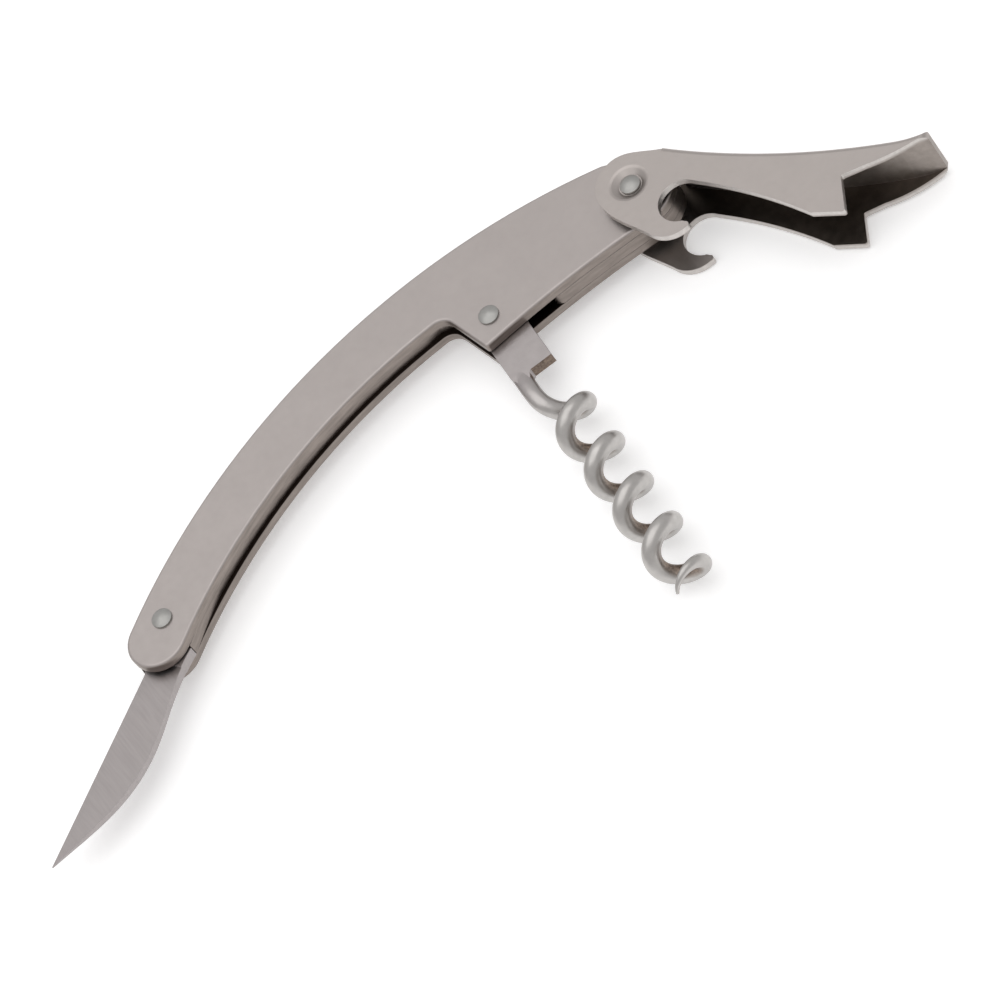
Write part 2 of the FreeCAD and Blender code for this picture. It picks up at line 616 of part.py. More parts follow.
def lever():
    """Folded sheet channel with bottle-cap hook, throat and stepped foot."""
    far = LEVER_LENGTH + EAR_RADIUS
    bottom, top = -LEVER_SHEET, LEVER_WIDTH_HOOK + LEVER_SHEET
    block = slab(cheek_outline(), bottom, top)
    block = block.cut(front_lip_trim(top)).removeSplitter()
    inner = front_notch()
    for x, y in ((FOOT_X, FOOT_Y), (inner.x, inner.y), (LEVER_LENGTH - NOTCH_BACK, -NOTCH_DROP)):
        block = block.makeFillet(FOOT_ROUND, [upright_edge(block, x, y)])
    block = block.common(taper(0))
    front = Part.makeBox(far, 2 * far, 2 * far, P(WEB_START, -far, -far))
    folded = block.common(front)
    head = block.cut(front)
    folded = folded.makeFillet(BEND_RADIUS, bent_edges(folded))
    body = folded.fuse(head)
    low = web_curve(LEVER_SHEET)
    end = P(LEVER_LENGTH + 0.1, low[4].y)
    space = slab([
        arc(low[0], low[1], low[2]),
        arc(low[2], low[3], end),
        line(end, P(far, end.y)),
        line(P(far, end.y), P(far, -far)),
        line(P(far, -far), P(-far, -far)),
        line(P(-far, -far), P(-far, far)),
        line(P(-far, far), P(WEB_START, far)),
        line(P(WEB_START, far), low[0]),
    ], bottom, top)
    body = body.cut(space.common(taper(LEVER_SHEET)))
    for outwards in (-1, 1):
        boss, hollow = dish(outwards)
        body = body.fuse(boss).cut(hollow)
    body = body.makeFillet(DISH_ROUND, dish_rims(body))
    body = body.cut([tip_corner(-1), tip_corner(1)])
    body = body.cut(drum(0, 0, RIVET_RADIUS + RUNNING, bottom, top))
    body = body.removeSplitter()
    return turned(body, LEVER_X, LEVER_Y, LEVER_ANGLE)


def grind(outwards):
    """What grinding takes off one side: a flat from the edge up to the spine,
    which leaves the spine full at the root and thinner after the ramp."""
    low, high = -2 * EDGE_OFFSET, BLADE_DEPTH * 1.2
    depth = BLADE_DEPTH + EDGE_OFFSET
    sections = []
    for x, spine in ((GRIND_START, BLADE_THICK),
                     (GRIND_START + GRIND_RAMP, SPINE_THICK),
                     (BLADE_LENGTH + 1, SPINE_THICK)):
        slope = (spine - EDGE_THICK) / 2 / depth
        z_low = EDGE_THICK / 2 + slope * (low + EDGE_OFFSET)
        z_high = EDGE_THICK / 2 + slope * (high + EDGE_OFFSET)
        corners = [(low, z_low), (high, z_high), (high, 2 * BLADE_THICK), (low, 2 * BLADE_THICK)]
        points = [P(x, y, MID_Z + outwards * z) for y, z in corners]
        sections.append(Part.makePolygon(points + points[:1]))
    return Part.makeLoft(sections, True, True)


def knife():
    """Foil cutter: straight edge, bellied spine, flat grind on both faces."""
    z0 = MID_Z - BLADE_THICK / 2
    z1 = MID_Z + BLADE_THICK / 2
    r = TANG_ROUND
    tip = P(BLADE_LENGTH, -EDGE_OFFSET)
    choil = P(CHOIL, -EDGE_OFFSET)
    leave = around(0, 0, r, -62)
    heel_in = P(HEEL, (r ** 2 - HEEL ** 2) ** 0.5)
    spine = [P(BLADE_LENGTH * along, BLADE_DEPTH * deep)
             for along, deep in ((0.275, 0.857), (0.482, 1.0), (0.689, 0.83), (0.887, 0.3))]
    outline = [
        spline([P(HEEL, HEEL_DEPTH)] + spine + [tip]),
        line(tip, choil),
        line(choil, leave),
        arc(leave, around(0, 0, r, 180), heel_in),
        line(heel_in, P(HEEL, HEEL_DEPTH)),
    ]
    body = slab(outline, z0, z1)
    for outwards in (-1, 1):
        body = body.cut(grind(outwards))
    body = body.cut(drum(0, 0, RIVET_RADIUS + RUNNING, z0 - 1, z1 + 1))
    return turned(body, KNIFE_X, KNIFE_Y, BLADE_ANGLE)


PIECES = [
    ("front_plate", front_plate),
    ("back_plate", back_plate),
    ("spring", spring),
    ("spring_dowel", spring_dowel),
    ("knife_rivet", knife_rivet),
    ("worm_rivet", worm_rivet),
    ("lever_rivet", lever_rivet),
    ("worm", worm),
    ("lever", lever),
    ("knife", knife),
]

os.makedirs("parts", exist_ok=True)
for name, build in PIECES:
    shape = build()
    solids = shape.Solids
    print(name, "valid", shape.isValid(), "solids", len(solids), "volume", round(shape.Volume, 2))
    if len(solids) == 1:
        shape = solids[0]
    shape.exportStep("parts/" + name + ".step")
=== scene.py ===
import json
import math

import bmesh
import bpy
from mathutils import Matrix, Vector


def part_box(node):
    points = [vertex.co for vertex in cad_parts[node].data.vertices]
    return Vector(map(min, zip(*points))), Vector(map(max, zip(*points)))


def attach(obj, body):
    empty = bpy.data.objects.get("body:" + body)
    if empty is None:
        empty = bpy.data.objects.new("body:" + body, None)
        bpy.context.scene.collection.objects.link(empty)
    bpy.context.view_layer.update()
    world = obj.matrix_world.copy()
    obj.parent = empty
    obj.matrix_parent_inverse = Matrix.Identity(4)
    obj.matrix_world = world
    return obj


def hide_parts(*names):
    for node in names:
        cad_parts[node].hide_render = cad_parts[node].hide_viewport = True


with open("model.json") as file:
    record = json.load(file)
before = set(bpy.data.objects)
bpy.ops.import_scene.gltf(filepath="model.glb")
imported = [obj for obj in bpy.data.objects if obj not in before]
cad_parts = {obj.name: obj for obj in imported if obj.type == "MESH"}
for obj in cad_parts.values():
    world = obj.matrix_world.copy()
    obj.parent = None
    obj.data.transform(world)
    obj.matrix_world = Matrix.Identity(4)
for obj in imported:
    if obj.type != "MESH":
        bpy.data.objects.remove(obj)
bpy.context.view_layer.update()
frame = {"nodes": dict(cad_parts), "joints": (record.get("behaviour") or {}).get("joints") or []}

bl_info = {
    "name": "Lever corkscrew",
    "version": (1, 0, 0),
    "blender": (4, 5, 0),
    "location": "3D View > Sidebar > Corkscrew",
    "description": "Finishes and studio for a stainless steel lever corkscrew",
    "category": "Object",
}

MM = 0.001
SENSOR_MM = 36.0

# The Mix node names its colour sockets like its number sockets, so they go by place.
MIX_A, MIX_B, MIX_RESULT = 6, 7, 2

# Nearly all the values of a noise texture lie between these.
NOISE_LOW, NOISE_HIGH = 0.3, 0.7

# A face whose normal has less Z than the first is upright, with more than the second it lies flat.
UPRIGHT, FLAT = 0.25, 0.75

# Points closer than this have been brought together, and are one.
MERGE = 0.0001 * MM


def linear(code):
    """sRGB hex code to the linear colour that sockets take."""
    parts = [int(code[i:i + 2], 16) / 255 for i in (1, 3, 5)]
    return tuple(c / 12.92 if c <= 0.04045 else ((c + 0.055) / 1.055) ** 2.4 for c in parts)


def node_z(name):
    """Lowest and highest level of a CAD node."""
    low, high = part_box(name)
    return low.z, high.z


def hinge(name):
    """Where a joint's axis passes at rest."""
    for joint in frame["joints"]:
        if joint["name"] == name:
            return Vector(joint["pos_m"])
    raise RuntimeError("no joint named " + name)


def ramp(value, start, end):
    """0 before start, 1 after end, smooth between."""
    t = min(max((value - start) / (end - start), 0.0), 1.0)
    return t * t * (3 - 2 * t)


def reworked(name, node, body, shift):
    """A copy of a CAD node with its points shifted, which rides in the node's place.
    Edges that a shift has closed up are dissolved, so the mesh stays watertight."""
    mesh = frame["nodes"][node].data.copy()
    mesh.name = name
    for vertex in mesh.vertices:
        vertex.co = shift(vertex.co)
    work = bmesh.new()
    work.from_mesh(mesh)
    bmesh.ops.dissolve_degenerate(work, dist=MERGE, edges=work.edges)
    work.to_mesh(mesh)
    work.free()
    obj = bpy.data.objects.new(name, mesh)
    bpy.context.scene.collection.objects.link(obj)
    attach(obj, body)
    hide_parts(node)
    return obj


# ------------------------------------------------------------------ properties

class FinishColours(bpy.types.PropertyGroup):
    """Colours of the steels, of their painted shade and highlight, and of the studio."""
    plate: bpy.props.FloatVectorProperty(
        name="Plates", description="Tumbled face of the handle plates",
        subtype="COLOR", min=0, max=1, default=linear("#ada6a3"))
    lever: bpy.props.FloatVectorProperty(
        name="Lever", description="Tumbled outside of the folded lever",
        subtype="COLOR", min=0, max=1, default=linear("#b0a9a5"))
    # Duller cut edges, darkened further as painted shade.
    sheared: bpy.props.FloatVectorProperty(
        name="Sheared edges", description="Cut edges of the sheets, duller and darkened as painted shade",
        subtype="COLOR", min=0, max=1, default=linear("#8f8680"))
    # Painted highlight on the lever's rims.
    rim_highlight: bpy.props.FloatVectorProperty(
        name="Lever rims", description="Rims of the lever, painted brighter as a highlight",
        subtype="COLOR", min=0, max=1, default=linear("#c9c4c0"))
    # Painted shade on the web's inner face.
    web: bpy.props.FloatVectorProperty(
        name="Web inside", description="Inner face of the lever's web, painted darker as shade",
        subtype="COLOR", min=0, max=1, default=linear("#978f89"))
    # Painted shade on the cheeks' inner faces.
    inside: bpy.props.FloatVectorProperty(
        name="Cheeks inside", description="Painted shade on the inner faces of the lever's cheeks",
        subtype="COLOR", min=0, max=1, default=linear("#675f58"))
    # Painted shade, blackest inside the lever round its throat.
    throat_shade: bpy.props.FloatVectorProperty(
        name="Throat shade", description="Painted shade, blackest inside the lever round its throat",
        subtype="COLOR", min=0, max=1, default=linear("#241f1b"))
    # Painted shade in the slot between the plates.
    slot: bpy.props.FloatVectorProperty(
        name="Slot", description="Painted shade on the inner faces of the plates and the spring",
        subtype="COLOR", min=0, max=1, default=linear("#38302b"))
    # Brownish painted shade inside the coils, also used on the tang's shoulder.
    brown_shade: bpy.props.FloatVectorProperty(
        name="Brown shade", description="Brownish painted shade inside the coils, also on the tang's shoulder",
        subtype="COLOR", min=0, max=1, default=linear("#7d6f64"))
    wire: bpy.props.FloatVectorProperty(
        name="Worm", description="Drawn and tumbled wire",
        subtype="COLOR", min=0, max=1, default=linear("#b9b6b3"))
    blade: bpy.props.FloatVectorProperty(
        name="Blade", description="Ground faces of the knife and flat of the worm's tang",
        subtype="COLOR", min=0, max=1, default=linear("#a7a1a0"))
    rivet: bpy.props.FloatVectorProperty(
        name="Rivets", description="Formed rivet heads",
        subtype="COLOR", min=0, max=1, default=linear("#a8a7a4"))
    floor: bpy.props.FloatVectorProperty(
        name="Floor", description="Pale studio floor",
        subtype="COLOR", min=0, max=1, default=linear("#fafafa"))
    room: bpy.props.FloatVectorProperty(
        name="Room", description="Even light from all round, a shade warm",
        subtype="COLOR", min=0, max=1, default=linear("#fffefe"))


class LeafSizes(bpy.types.PropertyGroup):
    """Where the spring's leaf shows between the plates."""
    arc_centre: bpy.props.FloatVectorProperty(
        name="Arc centre", description="Centre of the grip's arcs",
        subtype="TRANSLATION", default=(-15.6 * MM, -95.1 * MM, 0))
    belly: bpy.props.FloatProperty(
        name="Belly radius", description="Radius of the plates' concave edge",
        subtype="DISTANCE", default=101.7 * MM)
    depth: bpy.props.FloatProperty(
        name="Leaf depth", description="Leaf's free edge inside the plates' concave edge",
        subtype="DISTANCE", default=0.7 * MM)
    grip_reach: bpy.props.FloatProperty(
        name="Reach in the grip", description="Points deeper than this aren't the leaf's free edge",
        subtype="DISTANCE", default=3.3 * MM)
    heel_reach: bpy.props.FloatProperty(
        name="Reach at the knife", description="The same where the leaf narrows to the knife",
        subtype="DISTANCE", default=1.8 * MM)
    narrow_from: bpy.props.FloatProperty(
        name="Narrow from", description="X beyond which the leaf narrows",
        subtype="DISTANCE", default=-54.0 * MM)
    worm_end: bpy.props.FloatVectorProperty(
        name="Worm end", description="X where the edge starts to come out, and is all out",
        unit="LENGTH", size=2, default=(-6.0 * MM, -9.5 * MM))
    knife_end: bpy.props.FloatVectorProperty(
        name="Knife end", description="X where the edge starts to come out, and is all out",
        unit="LENGTH", size=2, default=(-61.5 * MM, -57.0 * MM))


class WormSizes(bpy.types.PropertyGroup):
    """Where the worm's finishes change along its axis, from the level of its hinge."""
    lean: bpy.props.FloatProperty(
        name="Lean", description="Turn of the coil's axis from -Y",
        subtype="ANGLE", default=math.radians(-6.3))
    beside: bpy.props.FloatProperty(
        name="Beside", description="Coil's axis beside the hinge",
        subtype="DISTANCE", default=1.5 * MM)
    neck: bpy.props.FloatProperty(
        name="Neck", description="Where the flat tang starts to turn into wire",
        subtype="DISTANCE", default=13.0 * MM)
    shoulder: bpy.props.FloatProperty(
        name="Shoulder", description="Where the tang's sheared shoulder ends",
        subtype="DISTANCE", default=13.6 * MM)
    coils: bpy.props.FloatProperty(
        name="Coils", description="Where the coils start",
        subtype="DISTANCE", default=22.0 * MM)


class LeverSizes(bpy.types.PropertyGroup):
    """The lever's sheet, the step at its tip and the places of its finishes and of its painted
    shade.
    """
    sheet: bpy.props.FloatProperty(
        name="Sheet", description="Thickness of the folded sheet",
        subtype="DISTANCE", default=1.2 * MM)
    step_start: bpy.props.FloatVectorProperty(
        name="Step start", description="Where the step on the web's inner face starts",
        subtype="TRANSLATION", default=(64.93 * MM, -32.51 * MM, 0))
    step_cut: bpy.props.FloatVectorProperty(
        name="Step cut", description="From the step's start to the tip, along the cut",
        subtype="TRANSLATION", default=(1.838 * MM, -0.361 * MM, 0))
    step_curve: bpy.props.FloatVectorProperty(
        name="Web curve", description="From the step's start to the tip, along the web's curve",
        subtype="TRANSLATION", default=(1.564 * MM, -0.753 * MM, 0))
    step_level: bpy.props.FloatProperty(
        name="Step level", description="Level of the step's ledge",
        subtype="DISTANCE", default=5.75 * MM)
    hooks: bpy.props.FloatProperty(
        name="Hooks", description="X past the hinge where the open hooks give way to the channel",
        subtype="DISTANCE", default=2.0 * MM)
    shade: bpy.props.FloatProperty(
        name="Shade", description="Length over which the cheeks turn dark past the hooks",
        subtype="DISTANCE", default=3.0 * MM)
    # Where the painted shade round the throat thins out.
    throat_shade: bpy.props.FloatVectorProperty(
        name="Throat shade", description="X past the hooks where the painted throat shade starts to thin, and is gone",
        unit="LENGTH", size=2, default=(6.0 * MM, 15.0 * MM))


class KnifeSizes(bpy.types.PropertyGroup):
    """The knife's grind."""
    grind: bpy.props.FloatProperty(
        name="Grind", description="Turn of the grinding scratches about Z",
        subtype="ANGLE", default=math.radians(-29.1))


class StudioSizes(bpy.types.PropertyGroup):
    """Camera and lights."""
    azimuth: bpy.props.FloatProperty(
        name="Azimuth", description="Camera round the object, 0 looks along +Y",
        subtype="ANGLE", default=math.radians(-2.24))
    elevation: bpy.props.FloatProperty(
        name="Elevation", description="Camera above the horizon",
        subtype="ANGLE", default=math.radians(50.3))
    roll: bpy.props.FloatProperty(
        name="Roll", description="Camera turned about its own line of sight",
        subtype="ANGLE", default=math.radians(-40.0))
    distance: bpy.props.FloatProperty(
        name="Distance", description="Camera to the point it looks at",
        subtype="DISTANCE", default=0.9394)
    aim: bpy.props.FloatVectorProperty(
        name="Aim", description="Point the camera looks at",
        subtype="TRANSLATION", default=(-0.01819, -0.02917, 0.0087))
    lens: bpy.props.FloatProperty(
        name="Lens", description="Focal length on a 36 mm wide sensor",
        unit="CAMERA", default=223.2)
    clip: bpy.props.FloatVectorProperty(
        name="Clip", description="Nearest and farthest that the camera sees",
        unit="LENGTH", size=2, default=(0.01, 50.0))
    floor_width: bpy.props.FloatProperty(
        name="Floor width", description="Side of the square floor",
        subtype="DISTANCE", default=8.0)
    floor_glow: bpy.props.FloatProperty(
        name="Floor glow", description="Light that comes up through the lit floor",
        min=0, default=0.28)
    box_width: bpy.props.FloatProperty(
        name="Softbox width", description="Side of both softboxes",
        subtype="DISTANCE", default=1.6)
    back_power: bpy.props.FloatProperty(
        name="Back softbox", description="Power of the softbox behind the object",
        subtype="POWER", default=0.3)
    back_direction: bpy.props.FloatVectorProperty(
        name="Back direction", description="From the aim towards the softbox behind",
        subtype="DIRECTION", default=(0.0, 0.62, 0.78))
    back_distance: bpy.props.FloatProperty(
        name="Back distance", description="From the aim to the softbox behind",
        subtype="DISTANCE", default=0.95)
    top_power: bpy.props.FloatProperty(
        name="Top softbox", description="Power of the softbox above the object",
        subtype="POWER", default=6.0)
    top_direction: bpy.props.FloatVectorProperty(
        name="Top direction", description="From the aim towards the softbox above",
        subtype="DIRECTION", default=(-0.1, 0.1, 1.0))
    top_distance: bpy.props.FloatProperty(
        name="Top distance", description="From the aim to the softbox above",
        subtype="DISTANCE", default=1.25)
    fill: bpy.props.FloatProperty(
        name="Room light", description="Strength of the even light from all round",
        min=0, default=0.68)


# ------------------------------------------------------------------- materials

def add_node(tree, kind, inputs=None, **settings):
    """Adds a shader node; an input is a value, an output socket, or a node whose first
    output is meant, and goes by its socket's name or place."""
    made = tree.nodes.new(kind)
    for name, value in settings.items():
        setattr(made, name, value)
    for socket, value in (inputs or {}).items():
        if isinstance(value, bpy.types.Node):
            value = value.outputs[0]
        if isinstance(value, bpy.types.NodeSocket):
            tree.links.new(value, made.inputs[socket])
        else:
            made.inputs[socket].default_value = value
    return made


def new_material(name):
    """An empty material and its node tree."""
    material = bpy.data.materials.new(name)
    material.use_nodes = True
    material.node_tree.nodes.clear()
    return material, material.node_tree


def per_metre(millimetres):
    """Texture scale that repeats after a real size."""
    return 1000 / millimetres


def rgba(colour):
    """A colour with full alpha."""
    return (colour[0], colour[1], colour[2], 1.0)


def steel(tree, colour, where, gloss, grit_mm, relief_mm, worn_mm):
    """Bare metal: roughness wanders between two values, fine grit breaks the
    reflection, and the corners are worn round by that radius and catch the light."""
    patches = add_node(tree, "ShaderNodeTexNoise", {
        "Vector": where, "Scale": per_metre(1.3), "Detail": 3.0})
    roughness = add_node(tree, "ShaderNodeMapRange", {
        "Value": patches, "From Min": NOISE_LOW, "From Max": NOISE_HIGH,
        "To Min": gloss[0], "To Max": gloss[1]})
    grit = add_node(tree, "ShaderNodeTexNoise", {
        "Vector": where, "Scale": per_metre(grit_mm), "Detail": 4.0})
    worn = add_node(tree, "ShaderNodeBevel", {"Radius": worn_mm * MM}, samples=4)
    bump = add_node(tree, "ShaderNodeBump", {
        "Height": grit, "Strength": 0.4, "Distance": relief_mm * MM, "Normal": worn})
    shader = add_node(tree, "ShaderNodeBsdfPrincipled", {
        "Base Color": colour, "Roughness": roughness, "Metallic": 1.0, "Normal": bump})
    add_node(tree, "ShaderNodeOutputMaterial", {"Surface": shader})


def mottled(tree, colour, where, size_mm, depth):
    """A colour that wanders a little lighter and darker in clouds and in fine specks."""
    clouds = add_node(tree, "ShaderNodeTexNoise", {
        "Vector": where, "Scale": per_metre(size_mm), "Detail": 5.0})
    shade = add_node(tree, "ShaderNodeMapRange", {
        "Value": clouds, "From Min": NOISE_LOW, "From Max": NOISE_HIGH,
        "To Min": 1 - depth, "To Max": 1 + depth})
    return add_node(tree, "ShaderNodeMix", {
        "Factor": 1.0, MIX_A: rgba(colour), MIX_B: shade},
        data_type="RGBA", blend_type="MULTIPLY").outputs[MIX_RESULT]


def tumbled_sheet(name, colours, levels):
    """Stainless sheet, stamped and barrel tumbled: an even satin grey with no
    direction. Sheared edges are duller, with marks drawn along them, and darker, partly as painted
    shade, and the faces that look inwards, to the middle of the two levels, are painted dark as
    shade."""
    material, tree = new_material(name)
    place = add_node(tree, "ShaderNodeTexCoord")
    where = place.outputs["Object"]
    spot = add_node(tree, "ShaderNodeSeparateXYZ", {"Vector": where})
    facing = add_node(tree, "ShaderNodeSeparateXYZ", {"Vector": place.outputs["Normal"]})

    skin = mottled(tree, colours.plate, where, size_mm=6.0, depth=0.02)
    drawn = add_node(tree, "ShaderNodeMapping", {"Vector": where, "Scale": (0.25, 0.25, 2.0)})
    # The cut edges' grey is partly their duller sheared face and partly painted shade.
    sheared = mottled(tree, colours.sheared, drawn, size_mm=1.1, depth=0.16)
    # Painted shade for the faces inside the slot.
    shade_tone = mottled(tree, colours.slot, where, size_mm=1.5, depth=0.2)

    # Sheared edges are upright and take a darker grey, partly painted shade; inner faces look back
    # towards the middle level and take painted shade.
    tilt = add_node(tree, "ShaderNodeMath", {0: facing.outputs["Z"]}, operation="ABSOLUTE")
    cut = add_node(tree, "ShaderNodeMapRange", {
        "Value": tilt, "From Min": UPRIGHT, "From Max": FLAT, "To Min": 1.0, "To Max": 0.0},
        interpolation_type="SMOOTHSTEP")
    offset = add_node(tree, "ShaderNodeMath", {
        0: spot.outputs["Z"], 1: sum(levels) / 2}, operation="SUBTRACT")
    inward = add_node(tree, "ShaderNodeMath", {
        0: facing.outputs["Z"], 1: offset}, operation="MULTIPLY")
    inner = add_node(tree, "ShaderNodeMapRange", {
        "Value": inward, "From Min": -0.3 * MM, "From Max": -0.9 * MM,
        "To Min": 0.0, "To Max": 1.0})

    colour = skin
    for amount, tone in ((cut, sheared), (inner, shade_tone)):
        colour = add_node(tree, "ShaderNodeMix", {
            "Factor": amount, MIX_A: colour, MIX_B: tone}, data_type="RGBA").outputs[MIX_RESULT]
    steel(tree, colour, where, gloss=(0.36, 0.44), grit_mm=0.25, relief_mm=0.02, worn_mm=0.15)
    return material


def tumbled_fold(name, colours, sizes, levels, hooks):
    """The same sheet folded into a channel: tumbled outside, with a painted highlight
    on the rims, painted shade on the web's inner face, and darker painted shade deep inside
    the cheeks, blackest round the throat. The hooks stand in the open and take only
    a quarter of the cheeks' painted shade."""
    material, tree = new_material(name)
    place = add_node(tree, "ShaderNodeTexCoord")
    where = place.outputs["Object"]
    spot = add_node(tree, "ShaderNodeSeparateXYZ", {"Vector": where})
    facing = add_node(tree, "ShaderNodeSeparateXYZ", {"Vector": place.outputs["Normal"]})

    skin = mottled(tree, colours.lever, where, size_mm=6.0, depth=0.02)
    # Painted highlight for the rims.
    rim_highlight_tone = mottled(tree, colours.rim_highlight, where, size_mm=0.6, depth=0.08)
    # Painted shade for the web's inner face.
    web_shade = mottled(tree, colours.web, where, size_mm=1.5, depth=0.12)
    # Painted shade for the cheeks' inner faces.
    cheek_shade = mottled(tree, colours.inside, where, size_mm=2.2, depth=0.2)
    # Painted shade, blackest, for round the throat.
    black = mottled(tree, colours.throat_shade, where, size_mm=2.2, depth=0.2)

    # Painted shade is blackest near the throat and thins out along the channel.
    throat_amount = add_node(tree, "ShaderNodeMapRange", {
        "Value": spot.outputs["X"], "From Min": hooks + sizes.throat_shade[0],
        "From Max": hooks + sizes.throat_shade[1], "To Min": 0.8, "To Max": 0.0})
    shade_tone = add_node(tree, "ShaderNodeMix", {
        "Factor": throat_amount, MIX_A: cheek_shade, MIX_B: black}, data_type="RGBA").outputs[MIX_RESULT]

    # Inner faces of the cheeks: they look back towards the middle level, and take painted shade, a
    # quarter of it in the hooks.
    offset = add_node(tree, "ShaderNodeMath", {
        0: spot.outputs["Z"], 1: sum(levels) / 2}, operation="SUBTRACT")
    inward = add_node(tree, "ShaderNodeMath", {
        0: facing.outputs["Z"], 1: offset}, operation="MULTIPLY")
    turned = add_node(tree, "ShaderNodeMapRange", {
        "Value": inward, "From Min": -1.0 * MM, "From Max": -3.0 * MM,
        "To Min": 0.0, "To Max": 1.0})
    deep = add_node(tree, "ShaderNodeMapRange", {
        "Value": spot.outputs["X"], "From Min": hooks, "From Max": hooks + sizes.shade,
        "To Min": 0.25, "To Max": 1.0})
    cheek_inside = add_node(tree, "ShaderNodeMath", {0: turned, 1: deep}, operation="MULTIPLY")

    # Inner face of the web: it lies between the cheeks and looks down, and takes a lighter painted
    # shade.
    distance = add_node(tree, "ShaderNodeMath", {0: offset}, operation="ABSOLUTE")
    cheek = (levels[1] - levels[0]) / 2 - sizes.sheet
    between = add_node(tree, "ShaderNodeMapRange", {
        "Value": distance, "From Min": cheek - 0.6 * MM, "From Max": cheek + 0.1 * MM,
        "To Min": 1.0, "To Max": 0.0})
    under = add_node(tree, "ShaderNodeMapRange", {
        "Value": facing.outputs["Y"], "From Min": 0.1, "From Max": -0.3,
        "To Min": 0.0, "To Max": 1.0})
    web_inside = add_node(tree, "ShaderNodeMath", {0: between, 1: under}, operation="MULTIPLY")

    # Rims: upright faces of the cheeks' sheet, painted brighter as a highlight.
    tilt = add_node(tree, "ShaderNodeMath", {0: facing.outputs["Z"]}, operation="ABSOLUTE")
    upright = add_node(tree, "ShaderNodeMapRange", {
        "Value": tilt, "From Min": UPRIGHT, "From Max": FLAT, "To Min": 1.0, "To Max": 0.0})
    edge = add_node(tree, "ShaderNodeMath", {
        0: upright, 1: between}, operation="SUBTRACT", use_clamp=True)

    colour = skin
    for amount, tone in ((edge, rim_highlight_tone), (web_inside, web_shade), (cheek_inside, shade_tone)):
        colour = add_node(tree, "ShaderNodeMix", {
            "Factor": amount, MIX_A: colour, MIX_B: tone}, data_type="RGBA").outputs[MIX_RESULT]
    steel(tree, colour, where, gloss=(0.36, 0.46), grit_mm=0.25, relief_mm=0.02, worn_mm=0.06)
    return material


def drawn_wire(name, colours, sizes, centre, axis):
    """Stainless wire, drawn, coiled and tumbled: a clear satin grey with soft
    shine along its crests. The inner side of the coils takes a brownish painted shade, and the
    sheared shoulder of the tang takes the same brownish colour."""
    material, tree = new_material(name)
    place = add_node(tree, "ShaderNodeTexCoord")
    where = place.outputs["Object"]
    bare = mottled(tree, colours.wire, where, size_mm=1.2, depth=0.06)
    flat = mottled(tree, colours.blade, where, size_mm=2.0, depth=0.04)
    # Brownish painted shade for the coils' inner side, also used on the tang's shoulder.
    brown_shade = mottled(tree, colours.brown_shade, where, size_mm=0.35, depth=0.4)

    # Place along the axis, and how far the surface looks away from the axis and down it.
    from_centre = add_node(tree, "ShaderNodeVectorMath", {
        0: where, 1: centre}, operation="SUBTRACT")
    side = add_node(tree, "ShaderNodeVectorMath", {
        0: from_centre, 1: axis}, operation="CROSS_PRODUCT")
    radial = add_node(tree, "ShaderNodeVectorMath", {0: axis, 1: side}, operation="CROSS_PRODUCT")
    outward = add_node(tree, "ShaderNodeVectorMath", {
        0: radial, 1: place.outputs["Normal"]}, operation="DOT_PRODUCT").outputs["Value"]
    along = add_node(tree, "ShaderNodeVectorMath", {
        0: from_centre, 1: axis}, operation="DOT_PRODUCT").outputs["Value"]
    facing = add_node(tree, "ShaderNodeVectorMath", {
        0: place.outputs["Normal"], 1: axis}, operation="DOT_PRODUCT").outputs["Value"]

    on_tang = add_node(tree, "ShaderNodeMapRange", {
        "Value": along, "From Min": sizes.neck, "From Max": sizes.coils,
        "To Min": 1.0, "To Max": 0.0})
    at_shoulder = add_node(tree, "ShaderNodeMath", {
        0: along, 1: sizes.shoulder}, operation="LESS_THAN")
    at_coils = add_node(tree, "ShaderNodeMath", {
        0: along, 1: sizes.coils}, operation="GREATER_THAN")
    down = add_node(tree, "ShaderNodeMapRange", {
        "Value": facing, "From Min": 0.7, "From Max": 0.9, "To Min": 0.0, "To Max": 1.0})
    turned_in = add_node(tree, "ShaderNodeMapRange", {
        "Value": outward, "From Min": -0.6 * MM, "From Max": -1.5 * MM,
        "To Min": 0.0, "To Max": 1.0})
    # Where the brownish colour goes: painted shade on the coils' inner side, and the tang's
    # shoulder.
    shoulder = add_node(tree, "ShaderNodeMath", {0: down, 1: at_shoulder}, operation="MULTIPLY")
    inner = add_node(tree, "ShaderNodeMath", {0: turned_in, 1: at_coils}, operation="MULTIPLY")
    browned = add_node(tree, "ShaderNodeMath", {0: shoulder, 1: inner}, operation="MAXIMUM")

    colour = bare
    for amount, tone in ((on_tang, flat), (browned, brown_shade)):
        colour = add_node(tree, "ShaderNodeMix", {
            "Factor": amount, MIX_A: colour, MIX_B: tone}, data_type="RGBA").outputs[MIX_RESULT]
    steel(tree, colour, where, gloss=(0.30, 0.40), grit_mm=0.3, relief_mm=0.03, worn_mm=0.12)
    return material


def ground_blade(name, colour, grind):
    """Hardened blade steel, ground across: fine scratches run from spine to edge."""
    material, tree = new_material(name)
    where = add_node(tree, "ShaderNodeTexCoord").outputs["Object"]
    across = add_node(tree, "ShaderNodeMapping", {
        "Vector": where, "Rotation": (0, 0, grind), "Scale": (1.0, 0.06, 1.0)})
    scratched = mottled(tree, colour, across, size_mm=0.4, depth=0.05)
    steel(tree, scratched, across, gloss=(0.34, 0.42), grit_mm=0.25, relief_mm=0.02, worn_mm=0.10)
    return material


